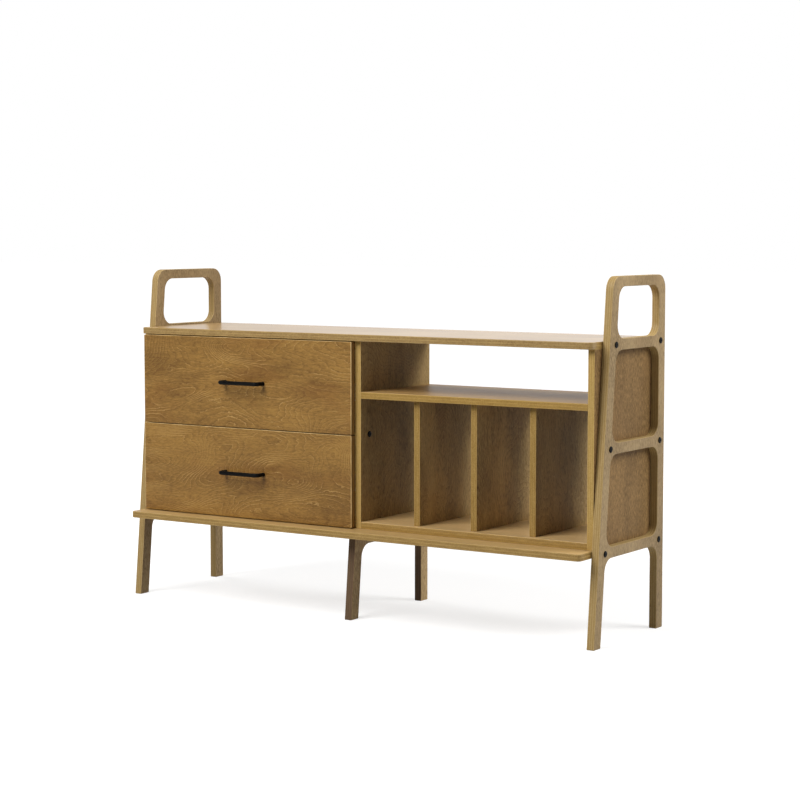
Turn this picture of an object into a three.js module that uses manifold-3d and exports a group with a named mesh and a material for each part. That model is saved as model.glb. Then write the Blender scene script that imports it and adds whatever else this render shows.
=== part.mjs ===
// Plywood record credenza. Two ladder-shaped side frames carry a top board, a base board and a
// carcass with two drawers on the left and a shelf over four upright record bays on the right.
// Millimetres, +Z up, +X to the right seen from the front, front towards -Y, origin on the floor
// under the middle of the whole.

import * as THREE from 'three';
import { mergeVertices } from 'three/addons/utils/BufferGeometryUtils.js';
import Module from 'manifold-3d';

const wasm = await Module();
wasm.setup();

// Side frames and the centre leg frame
const WIDTH = 1470;
const FRAME_PLY = 21;
const FOOT_DEPTH = 377;
const LOOP_DEPTH = 287;
const LOOP_RISE = 160;
const LOOP_RAIL = 26;
const STILE_WIDTH = 35;
const RAIL_HEIGHT = 28;
const OUTER_RADIUS = 36;
const WINDOW_RADIUS = 34;
const ARCH_RADIUS = 36;

// Boards and carcass
const PANEL_PLY = 18;
const BASE_CLEARANCE = 224;
const CARCASS_HEIGHT = 497;
const CARCASS_DEPTH = 337;
const BACK_INSET = 8;
const TOP_OVERHANG = 16;
const BASE_OVERHANG = 70;
const BOARD_RADIUS = 10;
const BACK_PLY = 9;

// Right bay
const DIVIDER_OFFSET = 3;
const RECORD_BAYS = 4;
const RECORD_HEIGHT = 327;
const RECORD_SETBACK = 18;

// Drawers
const FRONT_PLY = 18;
const FRONT_GAP = 2;
const FRONT_SEAT_GAP = 2;
const FRONT_SIDE_OVERLAP = 8;
const FRONT_DIVIDER_OVERLAP = 1;
const BOX_PLY = 12;
const BOX_LIFT = 12;
const BOX_HEADROOM = 28;
const BOX_BACK_CLEARANCE = 28;
const BOTTOM_PLY = 6;
const BOTTOM_RECESS = 8;

// Drawer slides
const SLIDE_SPACE = 12.7;
const SLIDE_HEIGHT = 45;
const SLIDE_STEEL = 1.2;
const SLIDE_SETBACK = 3;
const SLIDE_LAP = 3.2;
const BEARING_GAP = 0.4;

// Pulls
const PULL_SPACING = 128;
const PULL_STANDOFF = 30;
const PULL_DIAMETER = 11;
const PULL_BEND = 11;
const PULL_RISE = 1;

// Bolts and screws
const BOLT_DIAMETER = 6;
const BOLT_HEAD = 16;
const BOLT_HEAD_HEIGHT = 2.4;
const BOLT_SOCKET = 4;
const BOLT_BITE = 30;
const PANEL_BITE = 12;
const BOLT_FRONT_INSET = 32;
const BOLT_REAR_INSET = 26;
const DIVIDER_BOLT_INSET = 40;
const SCREW_DIAMETER = 4;
const SCREW_HEAD = 9;
const SCREW_HEAD_HEIGHT = 2.2;
const SCREW_SOCKET = 2.5;
const SCREW_BITE = 10;
const DRILL_CLEARANCE = 0.35;

// Facets
const ARC_STEPS = 10;
const ROUND_SEGMENTS = 16;
const PULL_STEPS = 48;
const PULL_SIDES = 12;

// Heights
const baseTop = BASE_CLEARANCE + PANEL_PLY;
const carcassTop = baseTop + CARCASS_HEIGHT;
const topBoardTop = carcassTop + PANEL_PLY;
const frameHeight = topBoardTop + LOOP_RISE;
const baseLevel = BASE_CLEARANCE + PANEL_PLY / 2;
const topLevel = carcassTop + PANEL_PLY / 2;
const middleLevel = (baseLevel + topLevel) / 2;
const floorTop = baseTop + PANEL_PLY;
const shelfBottom = floorTop + RECORD_HEIGHT;

// Depths, from the rear edge of the frames to the front
const overallDepth = Math.max(FOOT_DEPTH, BACK_INSET + CARCASS_DEPTH + BASE_OVERHANG);
const rear = overallDepth / 2;
const carcassBack = rear - BACK_INSET;
const carcassFront = carcassBack - CARCASS_DEPTH;
const topFront = carcassFront - TOP_OVERHANG;
const baseFront = carcassFront - BASE_OVERHANG;
const recordFront = carcassFront + RECORD_SETBACK;
const drawerBayBack = carcassBack - BACK_PLY;
const boxFront = carcassFront - FRONT_SEAT_GAP;
const boxBack = drawerBayBack - BOX_BACK_CLEARANCE;
const slideFront = carcassFront + SLIDE_SETBACK;

// Widths
const frameInside = WIDTH / 2 - FRAME_PLY;
const panelInside = frameInside - PANEL_PLY;
const dividerLeft = DIVIDER_OFFSET;
const dividerRight = dividerLeft + PANEL_PLY;
const recordPitch = (panelInside - dividerRight + PANEL_PLY) / RECORD_BAYS;
const boxLeft = -panelInside + SLIDE_SPACE;
const boxRight = dividerLeft - SLIDE_SPACE;

// Drawer heights
const frontHeight = (CARCASS_HEIGHT - 3 * FRONT_GAP) / 2;
const drawerShelfBottom = middleLevel - PANEL_PLY / 2;
const drawerShelfTop = middleLevel + PANEL_PLY / 2;
const boxHeight = drawerShelfBottom - floorTop - BOX_LIFT - BOX_HEADROOM;

const BIRCH = { color: 0xa57f4c, roughness: 0.55, metalness: 0 };
const BIRCH_PANEL = { color: 0x8f6c40, roughness: 0.6, metalness: 0 };
const BIRCH_FRONT = { color: 0xa87a45, roughness: 0.5, metalness: 0 };
const BOX_BIRCH = { color: 0xd2b98c, roughness: 0.65, metalness: 0 };
const BLACK_STEEL = { color: 0x17171a, roughness: 0.45, metalness: 0.6 };
const ZINC_STEEL = { color: 0xb9bcc0, roughness: 0.35, metalness: 0.9 };

const credenza = new THREE.Group();

function addMesh(parent, name, geometry, finish) {
  const mesh = new THREE.Mesh(geometry, new THREE.MeshStandardMaterial(finish));
  mesh.name = name;
  parent.add(mesh);
  return mesh;
}

// A box given by its low and high corner
function blockGeometry(low, high) {
  const geometry = new THREE.BoxGeometry(high[0] - low[0], high[1] - low[1], high[2] - low[2]);
  geometry.translate((low[0] + high[0]) / 2, (low[1] + high[1]) / 2, (low[2] + high[2]) / 2);
  return geometry;
}

function toSolid(geometry) {
  const bare = geometry.clone();
  bare.deleteAttribute('normal');
  bare.deleteAttribute('uv');
  const welded = mergeVertices(bare);
  return new wasm.Manifold(new wasm.Mesh({
    numProp: 3,
    vertProperties: Float32Array.from(welded.attributes.position.array),
    triVerts: Uint32Array.from(welded.index.array),
  }));
}

function toGeometry(solid) {
  const mesh = solid.getMesh();
  const geometry = new THREE.BufferGeometry();
  geometry.setAttribute('position', new THREE.BufferAttribute(mesh.vertProperties, 3));
  geometry.setIndex(new THREE.BufferAttribute(mesh.triVerts, 1));
  geometry.computeVertexNormals();
  return geometry;
}

// A round drill of a given diameter between two points on a line along X or Y
function drillGeometry(from, to, diameter) {
  const start = new THREE.Vector3(...from);
  const end = new THREE.Vector3(...to);
  const along = end.clone().sub(start);
  const geometry = new THREE.CylinderGeometry(diameter / 2, diameter / 2, along.length(), ROUND_SEGMENTS);
  const turn = new THREE.Quaternion().setFromUnitVectors(new THREE.Vector3(0, 1, 0), along.normalize());
  geometry.applyQuaternion(turn);
  geometry.translate(...start.add(end).multiplyScalar(0.5).toArray());
  return geometry;
}

function drilled(geometry, drills) {
  const solid = drills.reduce((rest, drill) => rest.subtract(toSolid(drill)), toSolid(geometry));
  return toGeometry(solid);
}

// Points of a closed outline through corners [across, up, radius], each rounded by its own radius
function roundedOutline(corners) {
  const points = [];
  corners.forEach(([across, up, radius], index) => {
    const corner = new THREE.Vector2(across, up);
    if (radius === 0) {
      points.push(corner);
      return;
    }
    const before = corners.at(index - 1);
    const after = corners[(index + 1) % corners.length];
    const back = new THREE.Vector2(before[0], before[1]).sub(corner).normalize();
    const ahead = new THREE.Vector2(after[0], after[1]).sub(corner).normalize();
    const halfAngle = Math.acos(back.dot(ahead)) / 2;
    const start = corner.clone().addScaledVector(back, radius / Math.tan(halfAngle));
    const inward = back.clone().add(ahead).normalize();
    const centre = corner.clone().addScaledVector(inward, radius / Math.sin(halfAngle));
    const startAngle = start.sub(centre).angle();
    const sweep = Math.sign(ahead.cross(back)) * (Math.PI - 2 * halfAngle);
    for (let step = 0; step <= ARC_STEPS; step += 1) {
      const angle = startAngle + sweep * step / ARC_STEPS;
      points.push(new THREE.Vector2(Math.cos(angle), Math.sin(angle)).multiplyScalar(radius).add(centre));
    }
  });
  return points;
}

// Raked front edge shared by all leg frames
function frontEdge(height) {
  return rear - THREE.MathUtils.lerp(FOOT_DEPTH, LOOP_DEPTH, height / frameHeight);
}

// Outline of a leg frame from the floor to its top, with an arch between the two feet
function legFrameShape(top, archTop, topRadius) {
  return new THREE.Shape(roundedOutline([
    [frontEdge(0), 0, 0],
    [frontEdge(0) + STILE_WIDTH, 0, 0],
    [frontEdge(archTop) + STILE_WIDTH, archTop, ARCH_RADIUS],
    [rear - STILE_WIDTH, archTop, ARCH_RADIUS],
    [rear - STILE_WIDTH, 0, 0],
    [rear, 0, 0],
    [rear, top, topRadius],
    [frontEdge(top), top, topRadius],
  ]));
}

function windowPath(bottom, top) {
  return new THREE.Path(roundedOutline([
    [frontEdge(bottom) + STILE_WIDTH, bottom, WINDOW_RADIUS],
    [rear - STILE_WIDTH, bottom, WINDOW_RADIUS],
    [rear - STILE_WIDTH, top, WINDOW_RADIUS],
    [frontEdge(top) + STILE_WIDTH, top, WINDOW_RADIUS],
  ]));
}

// A side-view outline drawn in depth and height, cut from frame plywood that starts at left
function framePlate(shape, left) {
  const geometry = new THREE.ExtrudeGeometry(shape, {
    depth: FRAME_PLY,
    bevelEnabled: false,
    curveSegments: ROUND_SEGMENTS / 2,
  });
  geometry.applyMatrix4(new THREE.Matrix4().makeBasis(
    new THREE.Vector3(0, 1, 0),
    new THREE.Vector3(0, 0, 1),
    new THREE.Vector3(1, 0, 0),
  ));
  geometry.translate(left, 0, 0);
  return geometry;
}

// The six bolts of a side frame: where each goes in and how deep it bites behind the frame
const frameBolts = [];
for (const [level, height, bite] of [
  ['base', baseLevel, BOLT_BITE],
  ['middle', middleLevel, PANEL_BITE],
  ['top', topLevel, BOLT_BITE],
]) {
  const frontDepth = frontEdge(height) + BOLT_FRONT_INSET;
  const rearDepth = rear - BOLT_REAR_INSET;
  frameBolts.push({ place: `${level}_front`, level, depth: frontDepth, height, bite });
  frameBolts.push({ place: `${level}_rear`, level, depth: rearDepth, height, bite });
}
const boltDrill = BOLT_DIAMETER + 2 * DRILL_CLEARANCE;
const screwDrill = SCREW_DIAMETER + 2 * DRILL_CLEARANCE;

// Blind holes for one level's frame bolts in a board that ends at the frame's inner face
function endHoles(side, level) {
  return frameBolts.filter((bolt) => bolt.level === level).map((bolt) => drillGeometry(
    [side * (frameInside + DRILL_CLEARANCE), bolt.depth, bolt.height],
    [side * (frameInside - bolt.bite - DRILL_CLEARANCE), bolt.depth, bolt.height],
    boltDrill,
  ));
}

function addSideFrame(name, side) {
  const shape = legFrameShape(frameHeight, baseLevel - RAIL_HEIGHT / 2, OUTER_RADIUS);
  const halfRail = RAIL_HEIGHT / 2;
  shape.holes.push(windowPath(baseLevel + halfRail, middleLevel - halfRail));
  shape.holes.push(windowPath(middleLevel + halfRail, topLevel - halfRail));
  shape.holes.push(windowPath(topLevel + halfRail, frameHeight - LOOP_RAIL));
  for (const bolt of frameBolts) {
    const hole = new THREE.Path();
    hole.absarc(bolt.depth, bolt.height, boltDrill / 2, 0, 2 * Math.PI);
    shape.holes.push(hole);
  }
  const left = side > 0 ? frameInside : -frameInside - FRAME_PLY;
  addMesh(credenza, name, framePlate(shape, left), BIRCH);
}

function addCentreLegFrame() {
  const shape = legFrameShape(BASE_CLEARANCE, BASE_CLEARANCE - RAIL_HEIGHT, 0);
  addMesh(credenza, 'center_leg_frame', framePlate(shape, -FRAME_PLY / 2), BIRCH);
}

// A board between the side frames with rounded front corners and bolt holes in both ends
function addBoard(name, front, bottom, level) {
  const outline = new THREE.Shape(roundedOutline([
    [-frameInside, carcassBack, 0],
    [-frameInside, front, BOARD_RADIUS],
    [frameInside, front, BOARD_RADIUS],
    [frameInside, carcassBack, 0],
  ]));
  const geometry = new THREE.ExtrudeGeometry(outline, { depth: PANEL_PLY, bevelEnabled: false });
  geometry.translate(0, 0, bottom);
  addMesh(credenza, name, drilled(geometry, [...endHoles(-1, level), ...endHoles(1, level)]), BIRCH);
}

function addSidePanel(name, side) {
  const near = Math.min(side * panelInside, side * frameInside);
  const panel = blockGeometry(
    [near, carcassFront, baseTop],
    [near + PANEL_PLY, carcassBack, carcassTop],
  );
  addMesh(credenza, name, drilled(panel, endHoles(side, 'middle')), BIRCH_PANEL);
}

// Bolts that hold the board between the drawers, put in from the record side of the divider
const dividerBolts = [
  ['front', carcassFront + DIVIDER_BOLT_INSET],
  ['rear', drawerBayBack - DIVIDER_BOLT_INSET],
];
const dividerHoles = dividerBolts.map(([, depth]) => drillGeometry(
  [dividerRight + DRILL_CLEARANCE, depth, middleLevel],
  [dividerLeft - BOLT_BITE - DRILL_CLEARANCE, depth, middleLevel],
  boltDrill,
));

function addCarcass() {
  addSidePanel('left_side_panel', -1);
  addSidePanel('right_side_panel', 1);

  const divider = blockGeometry(
    [dividerLeft, carcassFront, baseTop],
    [dividerRight, carcassBack, carcassTop],
  );
  addMesh(credenza, 'center_divider', drilled(divider, dividerHoles), BIRCH_PANEL);

  const drawerShelf = blockGeometry(
    [-panelInside, carcassFront, drawerShelfBottom],
    [dividerLeft, drawerBayBack, drawerShelfTop],
  );
  addMesh(credenza, 'drawer_shelf', drilled(drawerShelf, dividerHoles), BIRCH_PANEL);

  addMesh(credenza, 'left_floor_panel', blockGeometry(
    [-panelInside, carcassFront, baseTop],
    [dividerLeft, drawerBayBack, floorTop],
  ), BIRCH_PANEL);
  addMesh(credenza, 'drawer_bay_back', blockGeometry(
    [-panelInside, drawerBayBack, baseTop],
    [dividerLeft, carcassBack, carcassTop],
  ), BIRCH_PANEL);
  addMesh(credenza, 'right_floor_panel', blockGeometry(
    [dividerRight, carcassFront, baseTop],
    [panelInside, carcassBack, floorTop],
  ), BIRCH_PANEL);
  addMesh(credenza, 'record_shelf', blockGeometry(
    [dividerRight, carcassFront, shelfBottom],
    [panelInside, carcassBack, shelfBottom + PANEL_PLY],
  ), BIRCH_PANEL);
  for (let bay = 1; bay < RECORD_BAYS; bay += 1) {
    const right = dividerRight + bay * recordPitch;
    addMesh(credenza, `record_divider_${bay}`, blockGeometry(
      [right - PANEL_PLY, recordFront, floorTop],
      [right, carcassBack, shelfBottom],
    ), BIRCH_PANEL);
  }
}

// A flat-headed bolt along Z: head above zero, shank below, hex socket in the head
function boltGeometry(size) {
  const head = new THREE.CylinderGeometry(size.head / 2, size.head / 2, size.headHeight, ROUND_SEGMENTS);
  head.rotateX(Math.PI / 2);
  head.translate(0, 0, size.headHeight / 2);
  const reach = size.length + size.headHeight / 2;
  const shank = new THREE.CylinderGeometry(size.shank / 2, size.shank / 2, reach, ROUND_SEGMENTS);
  shank.rotateX(Math.PI / 2);
  shank.translate(0, 0, size.headHeight / 2 - reach / 2);
  const socketRadius = size.socket / Math.sqrt(3);
  const socket = new THREE.CylinderGeometry(socketRadius, socketRadius, size.headHeight, 6);
  socket.rotateX(Math.PI / 2);
  socket.translate(0, 0, size.headHeight);
  return toGeometry(toSolid(head).add(toSolid(shank)).subtract(toSolid(socket)));
}

function connectorBolt(length) {
  return boltGeometry({
    head: BOLT_HEAD,
    headHeight: BOLT_HEAD_HEIGHT,
    shank: BOLT_DIAMETER,
    socket: BOLT_SOCKET,
    length,
  });
}

function addFrameBolts(name, side) {
  for (const bolt of frameBolts) {
    const geometry = connectorBolt(FRAME_PLY + bolt.bite);
    const mesh = addMesh(credenza, `${name}_bolt_${bolt.place}`, geometry, BLACK_STEEL);
    mesh.rotation.y = side * Math.PI / 2;
    mesh.position.set(side * WIDTH / 2, bolt.depth, bolt.height);
  }
}

function addDividerBolts() {
  for (const [place, depth] of dividerBolts) {
    const geometry = connectorBolt(PANEL_PLY + BOLT_BITE);
    const mesh = addMesh(credenza, `divider_bolt_${place}`, geometry, BLACK_STEEL);
    mesh.rotation.y = Math.PI / 2;
    mesh.position.set(dividerRight, depth, middleLevel);
  }
}

// A steel channel open towards the drawer, drawn in width and height from the cabinet wall
function channelShape(wall, lip, halfHeight, side) {
  const across = (width) => side * width;
  const inner = halfHeight - SLIDE_STEEL;
  const web = wall + Math.sign(lip - wall) * SLIDE_STEEL;
  const shape = new THREE.Shape();
  shape.moveTo(across(wall), -halfHeight);
  shape.lineTo(across(lip), -halfHeight);
  shape.lineTo(across(lip), -inner);
  shape.lineTo(across(web), -inner);
  shape.lineTo(across(web), inner);
  shape.lineTo(across(lip), inner);
  shape.lineTo(across(lip), halfHeight);
  shape.lineTo(across(wall), halfHeight);
  shape.closePath();
  return shape;
}

// Three nested channels of a full-extension slide: on the wall, between, and on the drawer side
function addSlide(parent, name, wall, side, height) {
  const step = SLIDE_STEEL + BEARING_GAP;
  const outerHalf = SLIDE_HEIGHT / 2;
  const middleWeb = step;
  const members = [
    ['cabinet', channelShape(0, SLIDE_SPACE - SLIDE_LAP, outerHalf, side)],
    ['middle', channelShape(middleWeb, SLIDE_SPACE - SLIDE_LAP, outerHalf - step, side)],
    ['drawer', channelShape(SLIDE_SPACE, middleWeb + step, outerHalf - 2 * step, side)],
  ];
  for (const [member, shape] of members) {
    const geometry = new THREE.ExtrudeGeometry(shape, { depth: boxBack - slideFront, bevelEnabled: false });
    geometry.rotateX(Math.PI / 2);
    const mesh = addMesh(parent, `${name}_${member}`, geometry, ZINC_STEEL);
    mesh.position.set(wall, boxBack, height);
  }
}

// Bow pull: a round bar bent back to the drawer front at both ends, bored for its screws
function pullGeometry() {
  const half = PULL_SPACING / 2;
  const straight = PULL_STANDOFF - PULL_BEND;
  const path = new THREE.CurvePath();
  const at = (across, out) => new THREE.Vector3(across, -out, 0);
  path.add(new THREE.LineCurve3(at(-half, 0), at(-half, straight)));
  path.add(new THREE.QuadraticBezierCurve3(
    at(-half, straight),
    at(-half, PULL_STANDOFF),
    at(-half + PULL_BEND, PULL_STANDOFF),
  ));
  path.add(new THREE.LineCurve3(at(-half + PULL_BEND, PULL_STANDOFF), at(half - PULL_BEND, PULL_STANDOFF)));
  path.add(new THREE.QuadraticBezierCurve3(
    at(half - PULL_BEND, PULL_STANDOFF),
    at(half, PULL_STANDOFF),
    at(half, straight),
  ));
  path.add(new THREE.LineCurve3(at(half, straight), at(half, 0)));
  const section = new THREE.Shape();
  section.absarc(0, 0, PULL_DIAMETER / 2, 0, 2 * Math.PI);
  const bar = new THREE.ExtrudeGeometry(section, {
    steps: PULL_STEPS,
    curveSegments: PULL_SIDES / 2,
    extrudePath: path,
  });
  const bores = [-half, half].map((across) => drillGeometry(
    [across, DRILL_CLEARANCE, 0],
    [across, -SCREW_BITE - DRILL_CLEARANCE, 0],
    screwDrill,
  ));
  return drilled(bar, bores);
}

// One drawer with its slides, in a group whose zero height is the board it runs over
function addDrawer(name, supportTop, frontBottom) {
  const drawer = new THREE.Group();
  drawer.position.z = supportTop;
  credenza.add(drawer);

  const frontLow = frontBottom - supportTop;
  const frontHigh = frontLow + frontHeight;
  const frontFace = boxFront - FRONT_PLY;
  const frontLeft = -panelInside - FRONT_SIDE_OVERLAP;
  const frontRight = dividerLeft + FRONT_DIVIDER_OVERLAP;
  const pullCentre = (frontLeft + frontRight) / 2;
  const pullHeight = (frontLow + frontHigh) / 2 + PULL_RISE;
  const screwPlaces = [['left', pullCentre - PULL_SPACING / 2], ['right', pullCentre + PULL_SPACING / 2]];
  const screwHoles = screwPlaces.map(([, across]) => drillGeometry(
    [across, boxFront + BOX_PLY + DRILL_CLEARANCE, pullHeight],
    [across, frontFace - DRILL_CLEARANCE, pullHeight],
    screwDrill,
  ));

  const boxLow = BOX_LIFT;
  const boxHigh = boxLow + boxHeight;
  const innerLeft = boxLeft + BOX_PLY;
  const innerRight = boxRight - BOX_PLY;
  const innerFront = boxFront + BOX_PLY;
  const innerBack = boxBack - BOX_PLY;

  const front = blockGeometry([frontLeft, frontFace, frontLow], [frontRight, boxFront, frontHigh]);
  addMesh(drawer, `${name}_front`, drilled(front, screwHoles), BIRCH_FRONT);
  const boxInnerFront = blockGeometry([innerLeft, boxFront, boxLow], [innerRight, innerFront, boxHigh]);
  addMesh(drawer, `${name}_inner_front`, drilled(boxInnerFront, screwHoles), BOX_BIRCH);
  addMesh(drawer, `${name}_left_side`, blockGeometry(
    [boxLeft, boxFront, boxLow],
    [innerLeft, boxBack, boxHigh],
  ), BOX_BIRCH);
  addMesh(drawer, `${name}_right_side`, blockGeometry(
    [innerRight, boxFront, boxLow],
    [boxRight, boxBack, boxHigh],
  ), BOX_BIRCH);
  addMesh(drawer, `${name}_back`, blockGeometry(
    [innerLeft, innerBack, boxLow],
    [innerRight, boxBack, boxHigh],
  ), BOX_BIRCH);
  addMesh(drawer, `${name}_bottom`, blockGeometry(
    [innerLeft, innerFront, boxLow + BOTTOM_RECESS],
    [innerRight, innerBack, boxLow + BOTTOM_RECESS + BOTTOM_PLY],
  ), BOX_BIRCH);

  const pull = addMesh(drawer, `${name}_pull`, pullGeometry(), BLACK_STEEL);
  pull.position.set(pullCentre, frontFace, pullHeight);
  for (const [place, across] of screwPlaces) {
    const screw = addMesh(drawer, `${name}_pull_screw_${place}`, boltGeometry({
      head: SCREW_HEAD,
      headHeight: SCREW_HEAD_HEIGHT,
      shank: SCREW_DIAMETER,
      socket: SCREW_SOCKET,
      length: BOX_PLY + FRONT_PLY + SCREW_BITE,
    }), ZINC_STEEL);
    screw.rotation.x = -Math.PI / 2;
    screw.position.set(across, innerFront, pullHeight);
  }

  const slideHeight = (boxLow + boxHigh) / 2;
  addSlide(drawer, `${name}_left_slide`, -panelInside, 1, slideHeight);
  addSlide(drawer, `${name}_right_slide`, dividerLeft, -1, slideHeight);
}

addSideFrame('left_frame', -1);
addSideFrame('right_frame', 1);
addCentreLegFrame();
addBoard('top_board', topFront, carcassTop, 'top');
addBoard('base_board', baseFront, BASE_CLEARANCE, 'base');
addCarcass();
addDrawer('upper_drawer', drawerShelfTop, carcassTop - FRONT_GAP - frontHeight);
addDrawer('lower_drawer', floorTop, baseTop + FRONT_GAP);
addFrameBolts('left_frame', -1);
addFrameBolts('right_frame', 1);
addDividerBolts();

export default credenza;
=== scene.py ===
"""Plywood record credenza: looks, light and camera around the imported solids."""
import math
import random

import bmesh
import bpy
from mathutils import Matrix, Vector


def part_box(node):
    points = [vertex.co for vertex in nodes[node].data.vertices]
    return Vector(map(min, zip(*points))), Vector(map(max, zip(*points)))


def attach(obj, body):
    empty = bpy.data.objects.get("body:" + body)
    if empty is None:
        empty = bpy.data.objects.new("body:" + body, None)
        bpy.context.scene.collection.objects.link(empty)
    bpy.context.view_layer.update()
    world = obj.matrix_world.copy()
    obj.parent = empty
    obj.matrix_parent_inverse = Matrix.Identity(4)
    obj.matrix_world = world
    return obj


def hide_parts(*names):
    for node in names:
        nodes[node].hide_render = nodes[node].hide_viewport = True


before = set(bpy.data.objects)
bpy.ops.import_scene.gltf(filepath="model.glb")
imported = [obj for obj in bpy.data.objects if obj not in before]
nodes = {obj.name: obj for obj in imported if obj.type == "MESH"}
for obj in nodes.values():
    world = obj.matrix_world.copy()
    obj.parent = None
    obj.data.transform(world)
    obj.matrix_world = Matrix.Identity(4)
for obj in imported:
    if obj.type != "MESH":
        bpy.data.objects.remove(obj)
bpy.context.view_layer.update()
scene = bpy.context.scene
X, Y, Z = 0, 1, 2
DRAWERS = ("upper_drawer", "lower_drawer")
SIDES = ("left", "right")
SHARP = math.radians(35)    # an edge that turns further than this is sharp


def srgb(red, green, blue):
    """A display colour as linear light."""
    parts = [c / 255 for c in (red, green, blue)]
    return [c / 12.92 if c < 0.04045 else ((c + 0.055) / 1.055) ** 2.4 for c in parts] + [1.0]


def shade(color, gain):
    return [c * gain for c in color[:3]] + [1.0]


def toned(look, gain):
    """The same wood darker or lighter, also used for painted shade and painted light."""
    return {key: shade(value, gain) if isinstance(value, list) else value
            for key, value in look.items()}


# Material nodes

class Nodes:
    """A node tree. add returns a new node, and the methods after it what comes out of one."""

    def __init__(self, tree):
        self.tree = tree

    def feed(self, socket, value):
        if isinstance(value, bpy.types.NodeSocket):
            self.tree.links.new(value, socket)
        else:
            socket.default_value = value

    def add(self, kind, inputs=None, **settings):
        node = self.tree.nodes.new("ShaderNode" + kind)
        for key, value in settings.items():
            setattr(node, key, value)
        for socket, value in (inputs or {}).items():
            self.feed(node.inputs[socket], value)
        return node

    def math(self, operation, *values):
        return self.add("Math", dict(enumerate(values)), operation=operation).outputs[0]

    def split(self, vector):
        return self.add("SeparateXYZ", {0: vector}).outputs

    def join(self, x, y, z):
        return self.add("CombineXYZ", {0: x, 1: y, 2: z}).outputs[0]

    def stretch(self, vector, scale, shift):
        inputs = {0: vector, 1: scale, 2: shift}
        return self.add("VectorMath", inputs, operation="MULTIPLY_ADD").outputs[0]

    def noise(self, vector, scale=1.0, detail=2.0, roughness=0.5, distortion=0.0):
        inputs = {"Vector": vector, "Scale": scale, "Detail": detail, "Roughness": roughness,
                  "Distortion": distortion}
        return self.add("TexNoise", inputs).outputs[0]

    def ramp(self, value, low, high, start=0.0, end=1.0, ease="SMOOTHSTEP"):
        inputs = {"Value": value, "From Min": low, "From Max": high, "To Min": start, "To Max": end}
        return self.add("MapRange", inputs, interpolation_type=ease).outputs[0]

    def mix(self, share, first, second):
        return self.add("Mix", {0: share, 2: first, 3: second}, data_type="FLOAT").outputs[0]

    def blend(self, share, first, second):
        return self.add("Mix", {0: share, 6: first, 7: second}, data_type="RGBA").outputs[2]


class Surface(Nodes):
    """One node material, with object coordinates and a shader to feed."""

    def __init__(self, name):
        self.material = bpy.data.materials.new(name)
        self.material.use_nodes = True
        super().__init__(self.material.node_tree)
        self.shader = self.tree.nodes["Principled BSDF"]
        self.coords = self.add("TexCoord").outputs

    def shine(self, **inputs):
        """Feeds the shader, with spaces for the underscores in a socket's name."""
        for socket, value in inputs.items():
            self.feed(self.shader.inputs[socket.replace("_", " ")], value)

    def bump(self, height, strength, distance):
        inputs = {"Strength": strength, "Distance": distance, "Height": height}
        self.shine(Normal=self.add("Bump", inputs).outputs[0])


NOISE_REACH = 9


def random_shift(chance):
    """Where a material's noise starts, so that no two boards share their figure."""
    return [chance.uniform(-NOISE_REACH, NOISE_REACH) for _ in (X, Y, Z)]


# Plywood

# How strongly the slow drift, the streaks along the grain and the fine mottle show in most faces
FIGURE = {"drift": 0.6, "streak": 0.25, "mottle": 0.75}
# Face veneers: dark and light grain, growth-ring lines, warm patches and how strongly the rings of
# a peeled log show, then the finish
DRAWER_FACE = {
    **FIGURE, "dark": srgb(103, 71, 27), "light": srgb(160, 121, 59), "line": srgb(190, 152, 90),
    "warm": srgb(116, 72, 26), "rotary": 1.0, "roughness": 0.5, "gloss": 0.25, "coat": 0.05,
}
FRAME_FACE = {
    "dark": srgb(108, 86, 52), "light": srgb(178, 152, 110), "line": srgb(186, 160, 119),
    "warm": srgb(142, 114, 78), "rotary": 0.12, "roughness": 0.5, "gloss": 0.18, "coat": 0.04,
    "drift": 0.5, "streak": 0.2, "mottle": 1.0,
}
BOARD_FACE = {
    **FIGURE, "dark": srgb(144, 112, 66), "light": srgb(182, 148, 96), "line": srgb(200, 166, 114),
    "warm": srgb(156, 116, 66), "rotary": 0.35, "roughness": 0.34, "gloss": 0.3, "coat": 0.5,
}
BASE_FACE = {
    **FIGURE, "dark": srgb(166, 134, 84), "light": srgb(200, 167, 112), "line": srgb(208, 177, 124),
    "warm": srgb(184, 146, 92), "rotary": 0.3, "roughness": 0.42, "gloss": 0.25, "coat": 0.12,
}
SHELF_FACE = {
    **FIGURE, "dark": srgb(136, 104, 60), "light": srgb(174, 140, 88), "line": srgb(192, 156, 102),
    "warm": srgb(150, 112, 64), "rotary": 0.3, "roughness": 0.44, "gloss": 0.25, "coat": 0.06,
}
FLOOR_FACE = {
    **FIGURE, "dark": srgb(170, 138, 88), "light": srgb(214, 180, 126), "line": srgb(222, 190, 138),
    "warm": srgb(188, 150, 96), "rotary": 0.3, "roughness": 0.42, "gloss": 0.35, "coat": 0.3,
}
DIVIDER_FACE = {
    "dark": srgb(108, 84, 44), "light": srgb(208, 177, 120), "line": srgb(216, 188, 134),
    "warm": srgb(140, 104, 62), "rotary": 0.7, "roughness": 0.56, "gloss": 0.12, "coat": 0.0,
    "drift": 0.5, "streak": 0.15, "mottle": 0.65,
}
PANEL_FACE = {
    "dark": srgb(84, 62, 33), "light": srgb(159, 126, 81), "line": srgb(167, 134, 88),
    "warm": srgb(120, 90, 56), "rotary": 0.2, "roughness": 0.56, "gloss": 0.12, "coat": 0.0,
    "drift": 0.45, "streak": 0.15, "mottle": 1.15,
}
BACK_FACE = {
    **FIGURE, "dark": srgb(140, 110, 68), "light": srgb(184, 152, 102), "line": srgb(192, 160, 110),
    "warm": srgb(158, 122, 78), "rotary": 0.6, "roughness": 0.56, "gloss": 0.2, "coat": 0.0,
}
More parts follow.
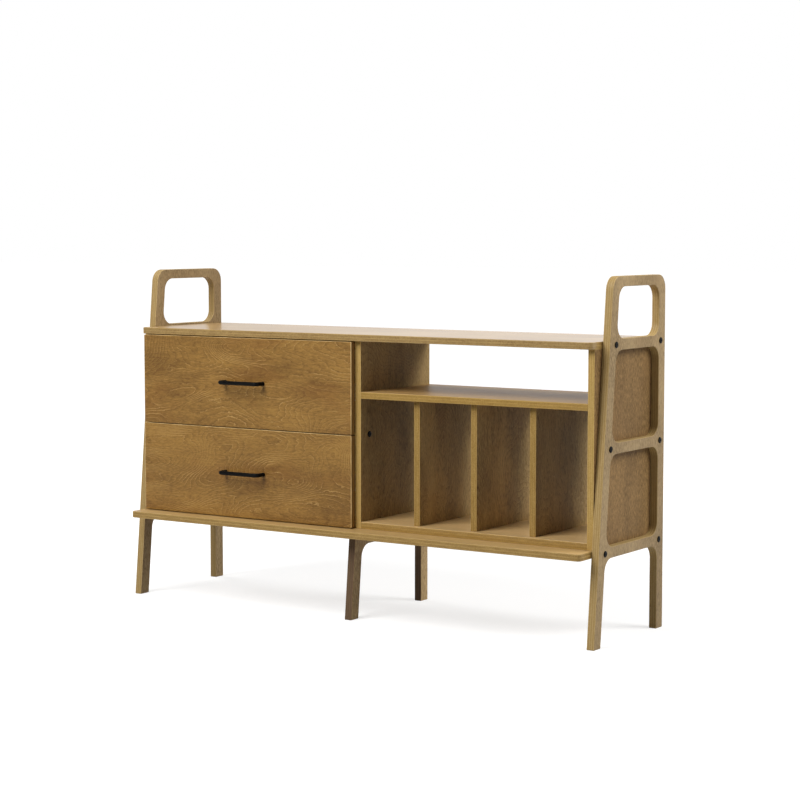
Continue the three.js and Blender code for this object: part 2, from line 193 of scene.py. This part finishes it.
BOX_FACE = {
    **FIGURE, "dark": srgb(196, 166, 122), "light": srgb(222, 196, 154),
    "line": srgb(232, 210, 172), "warm": srgb(206, 172, 126), "rotary": 0.4, "roughness": 0.55,
    "gloss": 0.3, "coat": 0.05,
}
# Cut edges: plies in long grain and end grain, glue lines and a lighter arris that is partly rubbed
# stain and partly a painted highlight, then how strongly that arris colour, the stripes of the
# plies and the speckle show
STAINED_EDGE = {
    "long": srgb(176, 150, 101), "end": srgb(155, 127, 77), "glue": srgb(126, 100, 56),
    "wear_and_highlight": srgb(190, 163, 112), "wear_and_highlight_share": 0.45, "stripe": 0.5, "speckle": 1.4,
}
PANEL_EDGE = {
    "long": srgb(189, 158, 97), "end": srgb(164, 132, 71), "glue": srgb(134, 105, 53),
    "wear_and_highlight": srgb(202, 172, 114), "wear_and_highlight_share": 0.45, "stripe": 0.4, "speckle": 1.4,
}
BOARD_EDGE = {
    "long": srgb(173, 142, 83), "end": srgb(131, 101, 48), "glue": srgb(100, 76, 36),
    "wear_and_highlight": srgb(186, 156, 100), "wear_and_highlight_share": 0.35, "stripe": 0.25, "speckle": 1.5,
}
# Its bright arris is partly wear and partly a painted highlight along the top of the floor and
# shelf edges
FLOOR_EDGE = {
    "long": srgb(171, 138, 73), "end": srgb(139, 107, 46), "glue": srgb(104, 79, 34),
    "wear_and_highlight": srgb(208, 176, 118), "wear_and_highlight_share": 0.8, "stripe": 0.25, "speckle": 1.5,
}
# The centre leg frame's edges, darkened as painted shade under the base board
CENTRE_LEG_PAINTED_SHADE_EDGE = {
    "long": srgb(124, 99, 74), "end": srgb(104, 81, 58), "glue": srgb(76, 57, 41),
    "wear_and_highlight": srgb(133, 106, 79), "wear_and_highlight_share": 0.45, "stripe": 0.5, "speckle": 0.6,
}
# Drawer front edges: the dark plies are painted shade on the fronts' ends, and the bright arris is
# a painted highlight on top of a little wear
SHADED_HIGHLIT_DRAWER_EDGE = {
    "long": srgb(150, 118, 66), "end": srgb(122, 92, 48), "glue": srgb(96, 70, 34),
    "wear_and_highlight": srgb(240, 206, 146), "wear_and_highlight_share": 1.0, "stripe": 0.5, "speckle": 0.6,
}
BOX_EDGE = {
    "long": srgb(222, 196, 152), "end": srgb(198, 166, 120), "glue": srgb(150, 116, 76),
    "wear_and_highlight": srgb(232, 208, 166), "wear_and_highlight_share": 0.45, "stripe": 0.62, "speckle": 0.5,
}

# Noise waves per metre along the grain, across it and through the board
DRIFT = (3.4, 9, 9)
STREAKS = (9, 170, 170)
PORES = (70, 900, 900)
MOTTLE = (80, 340, 340)
JAGS = (40, 90, 90)
SWING = (1.5, 3.4, 3.4)
PATCHES = (8, 18, 18)
WARMTH = (5, 11, 11)
SPECKS = (300, 300, 300)
PLY_GRAIN = (26, 26, 40)
PLY_OFFSET = 0.37          # how far apart the noise of two plies is read

RINGS = 64.0               # growth rings in the full swing of the figure
SLOPE_STEP = 0.002         # how far off the figure's slope is read
RING_REACH = 0.0026        # where a ring's line begins to show
RING_CORE = 0.0006         # where it is full
RING_FALL = 0.1            # how much darker a ring starts
JAG_BEND = 1.1             # rings that the jags and the drift bend a line by
DRIFT_BEND = 4.0
PORE_SHADE = 0.6           # gain of the dark grain in a pore
SHEET_GAIN = (0.95, 1.04)  # how far boards of one look differ in tone
EDGE_BIAS = 0.11           # puts the mix of the plies in the middle of its ramp
GLUE_SPAN = (0.41, 0.49)   # from the middle of a ply, where its glue line begins and is full
GLUE_SHARE = 0.55
ROUGHNESS_SWING = 0.12
EDGE_DULLNESS = 0.1
LACQUER_ROUGHNESS = 0.16
GRAIN_BUMP = 0.25
GRAIN_DEPTH = 0.0004


def ring_lines(wood, grained, shift, bent):
    """The rise within each growth ring of a peeled log, and the ring's line at an even width."""
    swings = []
    for ahead, aside in ((0, 0), (SLOPE_STEP, 0), (0, SLOPE_STEP)):
        near = (shift[0] + SWING[0] * ahead, shift[1] + SWING[1] * aside, shift[2])
        at = wood.stretch(grained, SWING, near)
        swings.append(wood.noise(at, detail=2, roughness=0.45, distortion=0.6))
    rise = wood.math("FRACT", wood.math("MULTIPLY_ADD", swings[0], RINGS, bent))
    squares = []
    for near in swings[1:]:
        slope = wood.math("MULTIPLY", wood.math("SUBTRACT", near, swings[0]), RINGS / SLOPE_STEP)
        squares.append(wood.math("POWER", slope, 2.0))
    slope = wood.math("SQRT", wood.math("ADD", *squares))
    away = wood.math("DIVIDE", wood.math("SUBTRACT", 1.0, rise), wood.math("MAXIMUM", slope, 1.0))
    return rise, wood.ramp(away, RING_REACH, RING_CORE)


def veneer_look(wood, grained, shift, face, gain):
    """Colour of a face, with the streaks and pores that its relief shares."""
    def figure(scale, detail=3, roughness=0.6):
        return wood.noise(wood.stretch(grained, scale, shift), detail=detail, roughness=roughness)

    drift = figure(DRIFT)
    streak = figure(STREAKS)
    pores = figure(PORES, detail=2, roughness=0.5)
    mottle = figure(MOTTLE, roughness=0.75)
    jag = figure(JAGS, roughness=0.65)
    bent = wood.math("MULTIPLY", drift, DRIFT_BEND)
    bent = wood.math("ADD", wood.math("MULTIPLY", jag, JAG_BEND), bent)
    rise, crest = ring_lines(wood, grained, shift, bent)
    shown = wood.ramp(figure(PATCHES, roughness=0.65), 0.4, 0.7, 0.1, 0.6)
    line = wood.math("MULTIPLY", wood.math("MULTIPLY", crest, shown), face["rotary"])

    # Each kind of figure lightens or darkens around the middle of the two grain colours
    tone = wood.math("MULTIPLY", drift, face["drift"])
    tone = wood.math("ADD", tone, wood.math("MULTIPLY", streak, face["streak"]))
    tone = wood.math("ADD", tone, wood.math("MULTIPLY", mottle, face["mottle"]))
    middling = (face["drift"] + face["streak"] + face["mottle"]) / 2
    fall = wood.math("MULTIPLY", wood.ramp(rise, 0.45, 0.0), RING_FALL * face["rotary"])
    tone = wood.math("SUBTRACT", tone, wood.math("ADD", fall, middling - 0.5))
    dark, light = shade(face["dark"], gain), shade(face["light"], gain)
    color = wood.blend(wood.ramp(tone, 0.2, 0.8), dark, light)
    warm = figure(WARMTH, detail=2, roughness=0.5)
    color = wood.blend(wood.ramp(warm, 0.5, 0.72, 0.0, 0.3), color, face["warm"])
    color = wood.blend(line, color, face["line"])
    pore = shade(face["dark"], PORE_SHADE)
    color = wood.blend(wood.ramp(pores, 0.62, 0.78, 0.0, 0.3), color, pore)
    return color, streak, pores


def edge_look(wood, through, run, grained, shift, edge):
    """Colour of a cut edge, with the grain, speckle and glue lines that its arris and relief share.

    through counts the plies from one side of the board, run is the place along the edge."""
    ply = wood.math("FLOOR", through)
    turned = wood.math("MODULO", ply, 2.0)
    at = wood.join(*run, wood.math("MULTIPLY", ply, PLY_OFFSET))
    grainy = wood.noise(wood.stretch(at, PLY_GRAIN, shift), detail=3, roughness=0.65)
    speck = wood.noise(wood.stretch(grained, SPECKS, shift), detail=3, roughness=0.7)
    mixed = wood.math("MULTIPLY_ADD", turned, edge["stripe"], grainy)
    mixed = wood.math("MULTIPLY_ADD", speck, edge["speckle"], mixed)
    mixed = wood.math("SUBTRACT", mixed, EDGE_BIAS + (edge["stripe"] + edge["speckle"]) / 2)
    color = wood.blend(wood.ramp(mixed, -0.1, 0.9), edge["long"], edge["end"])
    part = wood.math("FRACT", through)
    off_middle = wood.math("ABSOLUTE", wood.math("SUBTRACT", part, 0.5))
    glue = wood.ramp(off_middle, *GLUE_SPAN, 0.0, GLUE_SHARE)
    return wood.blend(glue, color, edge["glue"]), grainy, speck, glue


def plywood(name, thick, grain, span, layers, face, edge, seed):
    """Veneered plywood in object coordinates: figured faces, layered edges, arrises that are worn
    and carry a painted highlight.

    thick and grain are axes, span is the board's low and high side along the thick axis."""
    chance = random.Random(seed)
    shift = random_shift(chance)
    gain = chance.uniform(*SHEET_GAIN)
    wood = Surface(name)
    place = wood.split(wood.coords["Object"])
    facing = wood.split(wood.coords["Normal"])
    across = X + Y + Z - thick - grain
    grained = wood.join(place[grain], place[across], place[thick])
    veneer, streak, pores = veneer_look(wood, grained, shift, face, gain)
    through = wood.ramp(place[thick], *span, 0.0, layers, ease="LINEAR")
    run = (place[grain], place[across])
    cut, grainy, speck, glue = edge_look(wood, through, run, grained, shift, edge)

    # Where the arris is rounded and does not face down it is painted lighter: partly stain rubbed
    # thinner, partly a painted highlight from the light above and in front
    flat = wood.math("ABSOLUTE", facing[thick])
    on_face = wood.ramp(flat, 0.6, 0.9)
    wear_and_highlight = wood.math("MULTIPLY", wood.ramp(flat, 0.1, 0.45), wood.ramp(flat, 0.99, 0.88))
    patchy_wear_and_highlight = wood.ramp(grainy, 0.3, 0.7, 0.3 * edge["wear_and_highlight_share"], edge["wear_and_highlight_share"])
    wear_and_highlight = wood.math("MULTIPLY", wear_and_highlight, patchy_wear_and_highlight)
    wear_and_highlight = wood.math("MULTIPLY", wear_and_highlight, wood.ramp(facing[Z], -0.5, -0.1))
    color = wood.blend(wear_and_highlight, wood.blend(on_face, cut, veneer), edge["wear_and_highlight"])

    smoothest = face["roughness"] - ROUGHNESS_SWING / 2
    rough = wood.math("ADD", wood.math("MULTIPLY", streak, ROUGHNESS_SWING), smoothest)
    duller = wood.math("MULTIPLY", wood.math("SUBTRACT", 1.0, on_face), EDGE_DULLNESS)
    wood.shine(Base_Color=color, Roughness=wood.math("ADD", rough, duller),
               Specular_IOR_Level=face["gloss"], Coat_Weight=face["coat"],
               Coat_Roughness=LACQUER_ROUGHNESS)
    relief = wood.math("ADD", wood.math("MULTIPLY", streak, 0.6), wood.math("MULTIPLY", pores, 0.4))
    ridges = wood.math("SUBTRACT", wood.math("MULTIPLY", speck, 0.3), glue)
    wood.bump(wood.mix(on_face, ridges, relief), GRAIN_BUMP, GRAIN_DEPTH)
    return wood.material


# Metal

# Noise waves per metre, for zinc along X, Y and Z
ORANGE_PEEL = 1400.0
COAT_DRIFT = 60.0
ROLLED = (900, 12, 900)
CLOUDS = (90, 45, 90)
METAL_RELIEF = 0.0002


def black_steel(name, seed):
    """Satin black powder coat: fine orange peel, faint drift in tone and sheen."""
    coat = Surface(name)
    shift = random_shift(random.Random(seed))
    at = coat.stretch(coat.coords["Object"], (1, 1, 1), shift)
    peel = coat.noise(at, scale=ORANGE_PEEL, detail=2)
    drift = coat.noise(at, scale=COAT_DRIFT, detail=3)
    coat.shine(Base_Color=coat.blend(drift, srgb(4, 4, 4), srgb(11, 10, 9)),
               Roughness=coat.ramp(drift, 0.3, 0.7, 0.36, 0.5), Specular_IOR_Level=0.07)
    coat.bump(peel, 0.18, METAL_RELIEF)
    return coat.material


def zinc_steel(name, seed):
    """Zinc-plated steel: rolled streaks along the depth, cloudy plating, duller patches."""
    plate = Surface(name)
    shift = random_shift(random.Random(seed))
    place = plate.coords["Object"]
    rolled = plate.noise(plate.stretch(place, ROLLED, shift), detail=3)
    cloud = plate.noise(plate.stretch(place, CLOUDS, shift), detail=3)
    bright = plate.blend(cloud, srgb(178, 181, 186), srgb(212, 214, 217))
    streaked = plate.ramp(rolled, 0.5, 0.75, 0.0, 0.35)
    plate.shine(Metallic=1.0, Base_Color=plate.blend(streaked, bright, srgb(150, 153, 160)),
                Roughness=plate.ramp(cloud, 0.3, 0.7, 0.26, 0.42))
    plate.bump(rolled, 0.06, METAL_RELIEF)
    return plate.material


# Dressing of the solids

WELD = 2e-5                     # corners closer than this are one
LEVEL = math.radians(0.5)       # faces that turn less than this are one
SHORT_EDGE = 0.0014             # the edges around drilled holes are shorter and stay sharp


def modifier_nodes(name, steps):
    """A geometry node tree that passes a solid through the given nodes in turn."""
    tree = bpy.data.node_groups.new(name, "GeometryNodeTree")
    for way in ("INPUT", "OUTPUT"):
        tree.interface.new_socket("Geometry", in_out=way, socket_type="NodeSocketGeometry")
    kinds = ["NodeGroupInput", *("GeometryNode" + step for step in steps), "NodeGroupOutput"]
    chain = [tree.nodes.new(kind) for kind in kinds]
    for before, after in zip(chain, chain[1:]):
        tree.links.new(before.outputs[0], after.inputs[0])
    return tree, chain[1:-1]


def joining_nodes():
    """Joins the split corners of a solid and shades it smooth, ahead of its bevel."""
    steps = ("MergeByDistance", "RemoveAttribute", "SetShadeSmooth", "SetShadeSmooth")
    tree, (merge, bare, _, edges) = modifier_nodes("joined_corners", steps)
    merge.inputs["Distance"].default_value = WELD
    bare.inputs["Name"].default_value = "custom_normal"
    edges.domain = "EDGE"
    return tree


def arris_nodes():
    """Marks the sharp edges that are rounded, and keeps the short ones at drilled holes sharp."""
    steps = ("SetShadeSmooth", "StoreNamedAttribute")
    tree, (crease, mark) = modifier_nodes("marked_arrises", steps)
    graph = Nodes(tree)
    ends = tree.nodes.new("GeometryNodeInputMeshEdgeVertices").outputs
    inputs = {0: ends["Position 1"], 1: ends["Position 2"]}
    length = graph.add("VectorMath", inputs, operation="DISTANCE").outputs["Value"]
    angle = tree.nodes.new("GeometryNodeInputMeshEdgeAngle").outputs[0]
    is_long = graph.math("GREATER_THAN", length, SHORT_EDGE)
    is_sharp = graph.math("GREATER_THAN", angle, SHARP)
    crease.domain = mark.domain = "EDGE"
    graph.feed(crease.inputs["Shade Smooth"], False)
    graph.feed(crease.inputs["Selection"], graph.math("GREATER_THAN", is_sharp, is_long))
    graph.feed(mark.inputs["Name"], "bevel_weight_edge")
    graph.feed(mark.inputs["Value"], graph.math("MULTIPLY", is_long, is_sharp))
    return tree


JOINED = joining_nodes()
ARRISES = arris_nodes()


def dress(node, material, arris, segments=3):
    """Gives a solid its material and rounds its sharp edges without touching its mesh."""
    solid = nodes[node]
    solid.data.materials.clear()
    solid.data.materials.append(material)
    solid.modifiers.new("joined", "NODES").node_group = JOINED
    flat = solid.modifiers.new("flat", "DECIMATE")
    flat.decimate_type = "DISSOLVE"
    flat.angle_limit = LEVEL
    solid.modifiers.new("marked", "NODES").node_group = ARRISES
    bevel = solid.modifiers.new("arris", "BEVEL")
    bevel.width = arris
    bevel.segments = segments
    bevel.limit_method = "WEIGHT"
    bevel.harden_normals = True
    bevel.use_clamp_overlap = False


# Gain of the face and of the edge: the left frame and the centre divider's face are darkened as
# painted shade, the centre leg frame's faces lightened as painted light and its edges darkened as
# painted shade, and the top board's edge is a darker tone
TONE_AND_PAINTED_LIGHT_GAINS = {
    "left_frame": (0.91, 0.92), "center_leg_frame": (1.35, 0.75), "top_board": (1.0, 0.92),
    "center_divider": (0.82, 1.0),
}
# Board, thick axis, grain axis, plies, face, edge, width of the arris
BOARDS = [
    ("left_frame", X, Z, 7, FRAME_FACE, STAINED_EDGE, 0.0016),
    ("right_frame", X, Z, 7, FRAME_FACE, STAINED_EDGE, 0.0016),
    ("center_leg_frame", X, Z, 7, FRAME_FACE, CENTRE_LEG_PAINTED_SHADE_EDGE, 0.0016),
    ("top_board", Z, X, 5, BOARD_FACE, BOARD_EDGE, 0.0016),
    ("base_board", Z, X, 5, BASE_FACE, BOARD_EDGE, 0.0016),
    ("left_side_panel", X, Z, 7, PANEL_FACE, PANEL_EDGE, 0.0008),
    ("right_side_panel", X, Z, 7, PANEL_FACE, PANEL_EDGE, 0.0008),
    ("center_divider", X, Z, 7, DIVIDER_FACE, PANEL_EDGE, 0.0008),
    ("drawer_shelf", Z, X, 7, PANEL_FACE, STAINED_EDGE, 0.0006),
    ("left_floor_panel", Z, X, 7, PANEL_FACE, STAINED_EDGE, 0.0006),
    ("right_floor_panel", Z, X, 5, FLOOR_FACE, FLOOR_EDGE, 0.0014),
    ("record_shelf", Z, X, 5, SHELF_FACE, FLOOR_EDGE, 0.0014),
    ("record_divider_1", X, Z, 7, DIVIDER_FACE, BOARD_EDGE, 0.001),
    ("record_divider_2", X, Z, 7, DIVIDER_FACE, BOARD_EDGE, 0.001),
    ("record_divider_3", X, Z, 7, DIVIDER_FACE, BOARD_EDGE, 0.001),
    ("drawer_bay_back", Y, X, 5, BACK_FACE, STAINED_EDGE, 0.0005),
]
for drawer in DRAWERS:
    BOARDS += [
        (f"{drawer}_front", Y, X, 5, DRAWER_FACE, SHADED_HIGHLIT_DRAWER_EDGE, 0.0026),
        (f"{drawer}_inner_front", Y, X, 5, BOX_FACE, BOX_EDGE, 0.0006),
        (f"{drawer}_back", Y, X, 5, BOX_FACE, BOX_EDGE, 0.0006),
        (f"{drawer}_left_side", X, Y, 5, BOX_FACE, BOX_EDGE, 0.0008),
        (f"{drawer}_right_side", X, Y, 5, BOX_FACE, BOX_EDGE, 0.0008),
        (f"{drawer}_bottom", Z, X, 3, BOX_FACE, BOX_EDGE, 0.0003),
    ]
FIRST_SEED = 11
for seed, (node, thick, grain, layers, face, edge, arris) in enumerate(BOARDS, FIRST_SEED):
    low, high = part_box(node)
    span = (low[thick], high[thick])
    face_gain, edge_gain = TONE_AND_PAINTED_LIGHT_GAINS.get(node, (1.0, 1.0))
    face, edge = toned(face, face_gain), toned(edge, edge_gain)
    dress(node, plywood(f"{node}_wood", thick, grain, span, layers, face, edge, seed), arris)

ZINC = zinc_steel("zinc_steel", seed=3)
BLACK = black_steel("black_steel", seed=5)
STEEL_ARRIS = 0.0003
for drawer in DRAWERS:
    for side in SIDES:
        for member in ("cabinet", "middle", "drawer"):
            dress(f"{drawer}_{side}_slide_{member}", ZINC, STEEL_ARRIS, segments=2)


# Pieces that stand for solids, and screws that have none

# The bar of a pull: distance from the drawer front and share of the bar's radius along its foot
PULL_FOOT = ((0.0, 1.0), (0.0008, 1.05), (0.002, 1.05), (0.003, 1.0), (0.008, 1.0))
PULL_BEND = 0.0095
PULL_STEPS = 14
PULL_SIDES = 32

# Screws: length and radius of the head where no solid gives them, height of the head and radius
# of the shank
BOLT = {"head_height": 0.0024, "shank": 0.003}
PULL_SCREW = {"head_height": 0.0022, "shank": 0.002}
PANEL_SCREW = {"length": 0.0058, "head": 0.0042, "head_height": 0.0018, "shank": 0.002}
SLIDE_SCREW = {"length": 0.0028, "head": 0.0038, "head_height": 0.0018, "shank": 0.002}
PANEL_SCREW_BITE = 0.004        # how deep a screw sits in the back panel
SLIDE_SCREW_LIFT = 0.0002       # how far a screw's tip stays off the side of the drawer
PANEL_SCREW_SHARES = (0.1, 0.37, 0.63, 0.9)
SLIDE_SCREW_SHARES = (0.1, 0.42, 0.86)
SCREW_SIDES = 48
SOCKET_SIDES = 6
# The tip: share of the shank's radius around it and along it
TIP = ((0.7, 0.0), (1.0, 0.4))
# A domed head: share of its radius and of its height
DOME = ((0.97, 0.0), (1.0, 0.12), (1.0, 0.45), (0.96, 0.74), (0.86, 0.93), (0.6, 1.0))
# Its socket: share of the socket's radius and of its depth
SOCKET = ((1.22, 0.0), (1.12, 0.12), (1.12, 1.0))
SOCKET_SHARE = 0.3              # of the head's radius
SOCKET_DEPTH_SHARE = 0.6        # of the head's height


def new_piece(name, mesh, material, body, node=None):
    """Puts a finished mesh in the scene, for a solid if one is named."""
    bmesh.ops.recalc_face_normals(mesh, faces=mesh.faces)
    for part in mesh.faces:
        part.smooth = True
    for part in mesh.edges:
        part.smooth = part.calc_face_angle(0.0) < SHARP
    data = bpy.data.meshes.new(name)
    mesh.to_mesh(data)
    mesh.free()
    data.materials.append(material)
    piece = bpy.data.objects.new(name, data)
    scene.collection.objects.link(piece)
    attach(piece, body)
    if node:
        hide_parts(node)


def skin(mesh, rings):
    """Joins rings of equal count one after another, and closes both ends with a fan."""
    loops = [[mesh.verts.new(point) for point in ring] for ring in rings]
    count = len(loops[0])
    for near, far in zip(loops, loops[1:]):
        for i in range(count):
            j = (i + 1) % count
            mesh.faces.new((near[i], near[j], far[j], far[i]))
    for loop in (loops[0], loops[-1]):
        centre = mesh.verts.new(sum((v.co for v in loop), Vector()) / count)
        for i in range(count):
            mesh.faces.new((loop[i], loop[(i + 1) % count], centre))


def bow_pull(drawer):
    """A round bar bent back to the drawer front at both ends, on two slightly collared feet."""
    node = f"{drawer}_pull"
    low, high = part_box(node)
    middle, level = (low.x + high.x) / 2, (low.z + high.z) / 2
    radius = (high.z - low.z) / 2
    half = (high.x - low.x) / 2 - radius
    reach = high.y - low.y - radius
    line = [(-half, out, flare) for out, flare in PULL_FOOT]
    for step in range(PULL_STEPS + 1):
        turn = math.pi / 2 * step / PULL_STEPS
        across = -half + PULL_BEND * (1 - math.cos(turn))
        line.append((across, reach - PULL_BEND + PULL_BEND * math.sin(turn), 1.0))
    line += [(-x, out, flare) for x, out, flare in reversed(line)]
    path = [Vector((middle + x, high.y - out, level)) for x, out, _ in line]
    rings = []
    for i, centre in enumerate(path):
        along = path[min(i + 1, len(path) - 1)] - path[max(i - 1, 0)]
        side = along.cross(Vector((0, 0, 1))).normalized()
        size = radius * line[i][2]
        rings.append([
            centre + side * size * math.cos(a) + Vector((0, 0, size * math.sin(a)))
            for a in (2 * math.pi * k / PULL_SIDES for k in range(PULL_SIDES))
        ])
    mesh = bmesh.new()
    skin(mesh, rings)
    new_piece(f"{node}_bar", mesh, BLACK, drawer, node)


def turn_screw(mesh, tip, axis, out, length, head, head_height, shank):
    """Adds a turned screw from its tip along X or Y, with a softly domed head and a hex socket."""
    other = Y if axis == X else X
    seat = length - head_height
    socket = head * SOCKET_SHARE
    depth = head_height * SOCKET_DEPTH_SHARE
    turned = [(shank * wide, shank * along, 0) for wide, along in TIP] + [(shank, seat, 0)]
    turned += [(head * wide, seat + head_height * high, 0) for wide, high in DOME]
    turned += [(socket * wide, length - depth * deep, SOCKET_SIDES) for wide, deep in SOCKET]
    rings = []
    for radius, along, sides in turned:
        ring = []
        for k in range(SCREW_SIDES):
            angle = 2 * math.pi * k / SCREW_SIDES
            reach = radius
            if sides:
                part = math.pi / sides
                reach *= math.cos(part) / math.cos(angle % (2 * part) - part)
            point = Vector(tip)
            point[axis] += out * along
            point[other] += reach * math.cos(angle)
            point[Z] += reach * math.sin(angle)
            ring.append(point)
        rings.append(ring)
    skin(mesh, rings)


def socket_screw(node, axis, out, sizes, material, body):
    """The screw that stands for a solid."""
    low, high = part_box(node)
    tip = (low + high) / 2
    tip[axis] = low[axis] if out > 0 else high[axis]
    mesh = bmesh.new()
    length, head = high[axis] - low[axis], (high.z - low.z) / 2
    turn_screw(mesh, tip, axis, out, length, head, **sizes)
    new_piece(f"{node}_turned", mesh, material, body, node)


def back_panel_screws():
    """Two rows of screws that hold the back panel to the boards in front of it."""
    low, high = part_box("drawer_bay_back")
    mesh = bmesh.new()
    for board in ("left_floor_panel", "drawer_shelf"):
        board_low, board_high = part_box(board)
        for share in PANEL_SCREW_SHARES:
            across = low.x + (high.x - low.x) * share
            tip = (across, high.y - PANEL_SCREW_BITE, (board_low.z + board_high.z) / 2)
            turn_screw(mesh, tip, Y, 1, **PANEL_SCREW)
    new_piece("back_panel_screws", mesh, BLACK, "carcass")


def slide_screws(drawer, side):
    """Three screws in the web of a slide's drawer member, seen when the drawer is out."""
    low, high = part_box(f"{drawer}_{side}_slide_drawer")
    out = -1 if side == "left" else 1
    web = high.x if side == "left" else low.x
    mesh = bmesh.new()
    for share in SLIDE_SCREW_SHARES:
        depth = low.y + (high.y - low.y) * share
        tip = (web + out * SLIDE_SCREW_LIFT, depth, (low.z + high.z) / 2)
        turn_screw(mesh, tip, X, out, **SLIDE_SCREW)
    new_piece(f"{drawer}_{side}_slide_screws", mesh, ZINC, drawer)


for drawer in DRAWERS:
    bow_pull(drawer)
    for side in SIDES:
        screw = f"{drawer}_pull_screw_{side}"
        socket_screw(screw, Y, 1, PULL_SCREW, ZINC, drawer)
        slide_screws(drawer, side)
for side, out in zip(SIDES, (-1, 1)):
    for level in ("base", "middle", "top"):
        for place in ("front", "rear"):
            bolt = f"{side}_frame_bolt_{level}_{place}"
            socket_screw(bolt, X, out, BOLT, BLACK, "carcass")
for place in ("front", "rear"):
    socket_screw(f"divider_bolt_{place}", X, 1, BOLT, BLACK, "carcass")
back_panel_screws()


# Floor, light and camera

FLOOR_HALF = 40.0
FLOOR_TONE = 0.4
# Distance from the object over which the floor goes over to white, and its glow at both ends
FLOOR_FADE = (1.0, 3.5)
FLOOR_GLOW = (0.68, 1.0)
# The world: direction of the white sweep, from where to where along it the light rises, and its
# level before and behind the object for light that falls on it and for reflections
SWEEP = (0.5, 0.866, 0.0)
SWEEP_EDGE = (-0.1, 0.6)
ROOM_LIGHT = (0.06, 0.33)
ROOM_MIRRORED = (0.2, 1.0)
# Lamp, place, target, width and height, power in watts
LAMPS = (
    ("key", (-0.8, -3.3, 3.95), (0, 0, 0.4), (2.6, 3.4), 282),
    ("sweep", (3.15, 1.25, 2.85), (0.3, 0, 0.5), (1.9, 2.0), 126),
    ("fill", (-3.9, 0.9, 2.2), (-0.3, 0, 0.5), (2.4, 2.4), 70),
)
# The camera, solved from the photograph together with the proportions: metres, degrees, millimetres
CAMERA_PLACE = (3.09374, -4.62556, 1.03666)
CAMERA_TURN = (85.24, 0.0, 33.31)
CAMERA_LENS = 93.27
CAMERA_SENSOR = 36.0


def shown_white(graph):
    """1 where the eye, a mirror or glass looks at it, and 0 for light that falls on the object."""
    path = graph.add("LightPath").outputs
    seen = graph.math("MAXIMUM", path["Is Camera Ray"], path["Is Glossy Ray"])
    return graph.math("MAXIMUM", seen, path["Is Transmission Ray"])


def add_floor():
    """A matte floor that keeps the object's shadow and goes over to white further out."""
    mesh = bmesh.new()
    bmesh.ops.create_grid(mesh, x_segments=4, y_segments=4, size=FLOOR_HALF)
    data = bpy.data.meshes.new("floor")
    mesh.to_mesh(data)
    mesh.free()
    floor = bpy.data.objects.new("floor", data)
    scene.collection.objects.link(floor)
    material = bpy.data.materials.new("pale_floor")
    material.use_nodes = True
    graph = Nodes(material.node_tree)
    graph.tree.nodes.remove(graph.tree.nodes["Principled BSDF"])
    matte = graph.add("BsdfDiffuse", {"Color": (FLOOR_TONE, FLOOR_TONE, FLOOR_TONE, 1)})
    place = graph.add("TexCoord").outputs["Object"]
    away = graph.add("VectorMath", {0: place}, operation="LENGTH").outputs["Value"]
    fade = graph.ramp(away, *FLOOR_FADE, *FLOOR_GLOW, ease="LINEAR")
    glow = graph.add("Emission", {"Strength": graph.math("MULTIPLY", shown_white(graph), fade)})
    both = graph.add("AddShader", {0: matte.outputs[0], 1: glow.outputs[0]})
    graph.feed(graph.tree.nodes["Material Output"].inputs["Surface"], both.outputs[0])
    data.materials.append(material)


def add_world():
    """A pale room with a white sweep behind the object, and a white background to look at."""
    world = bpy.data.worlds.new("studio")
    world.use_nodes = True
    scene.world = world
    graph = Nodes(world.node_tree)
    place = graph.add("TexCoord").outputs["Generated"]
    inputs = {0: place, 1: SWEEP}
    behind = graph.add("VectorMath", inputs, operation="DOT_PRODUCT").outputs["Value"]
    light = graph.ramp(behind, *SWEEP_EDGE, *ROOM_LIGHT)
    mirrored = graph.ramp(behind, *SWEEP_EDGE, *ROOM_MIRRORED)
    path = graph.add("LightPath").outputs
    level = graph.mix(path["Is Glossy Ray"], light, mirrored)
    seen = graph.math("MAXIMUM", path["Is Camera Ray"], path["Is Transmission Ray"])
    background = graph.tree.nodes["Background"]
    graph.feed(background.inputs["Color"], (1, 1, 1, 1))
    graph.feed(background.inputs["Strength"], graph.mix(seen, level, 1.0))


def add_lamp(name, place, target, size, power):
    """A soft box of the given width and height."""
    lamp = bpy.data.lights.new(name, "AREA")
    lamp.shape = "RECTANGLE"
    lamp.size, lamp.size_y = size
    lamp.energy = power
    holder = bpy.data.objects.new(name, lamp)
    holder.location = place
    holder.rotation_euler = (Vector(target) - Vector(place)).to_track_quat("-Z", "Y").to_euler()
    scene.collection.objects.link(holder)


def add_camera():
    lens = bpy.data.cameras.new("camera")
    lens.lens = CAMERA_LENS
    lens.sensor_width = CAMERA_SENSOR
    holder = bpy.data.objects.new("camera", lens)
    holder.location = CAMERA_PLACE
    holder.rotation_euler = [math.radians(turn) for turn in CAMERA_TURN]
    scene.collection.objects.link(holder)
    scene.camera = holder


add_floor()
add_world()
for lamp in LAMPS:
    add_lamp(*lamp)
add_camera()
scene.view_settings.view_transform = "Standard"
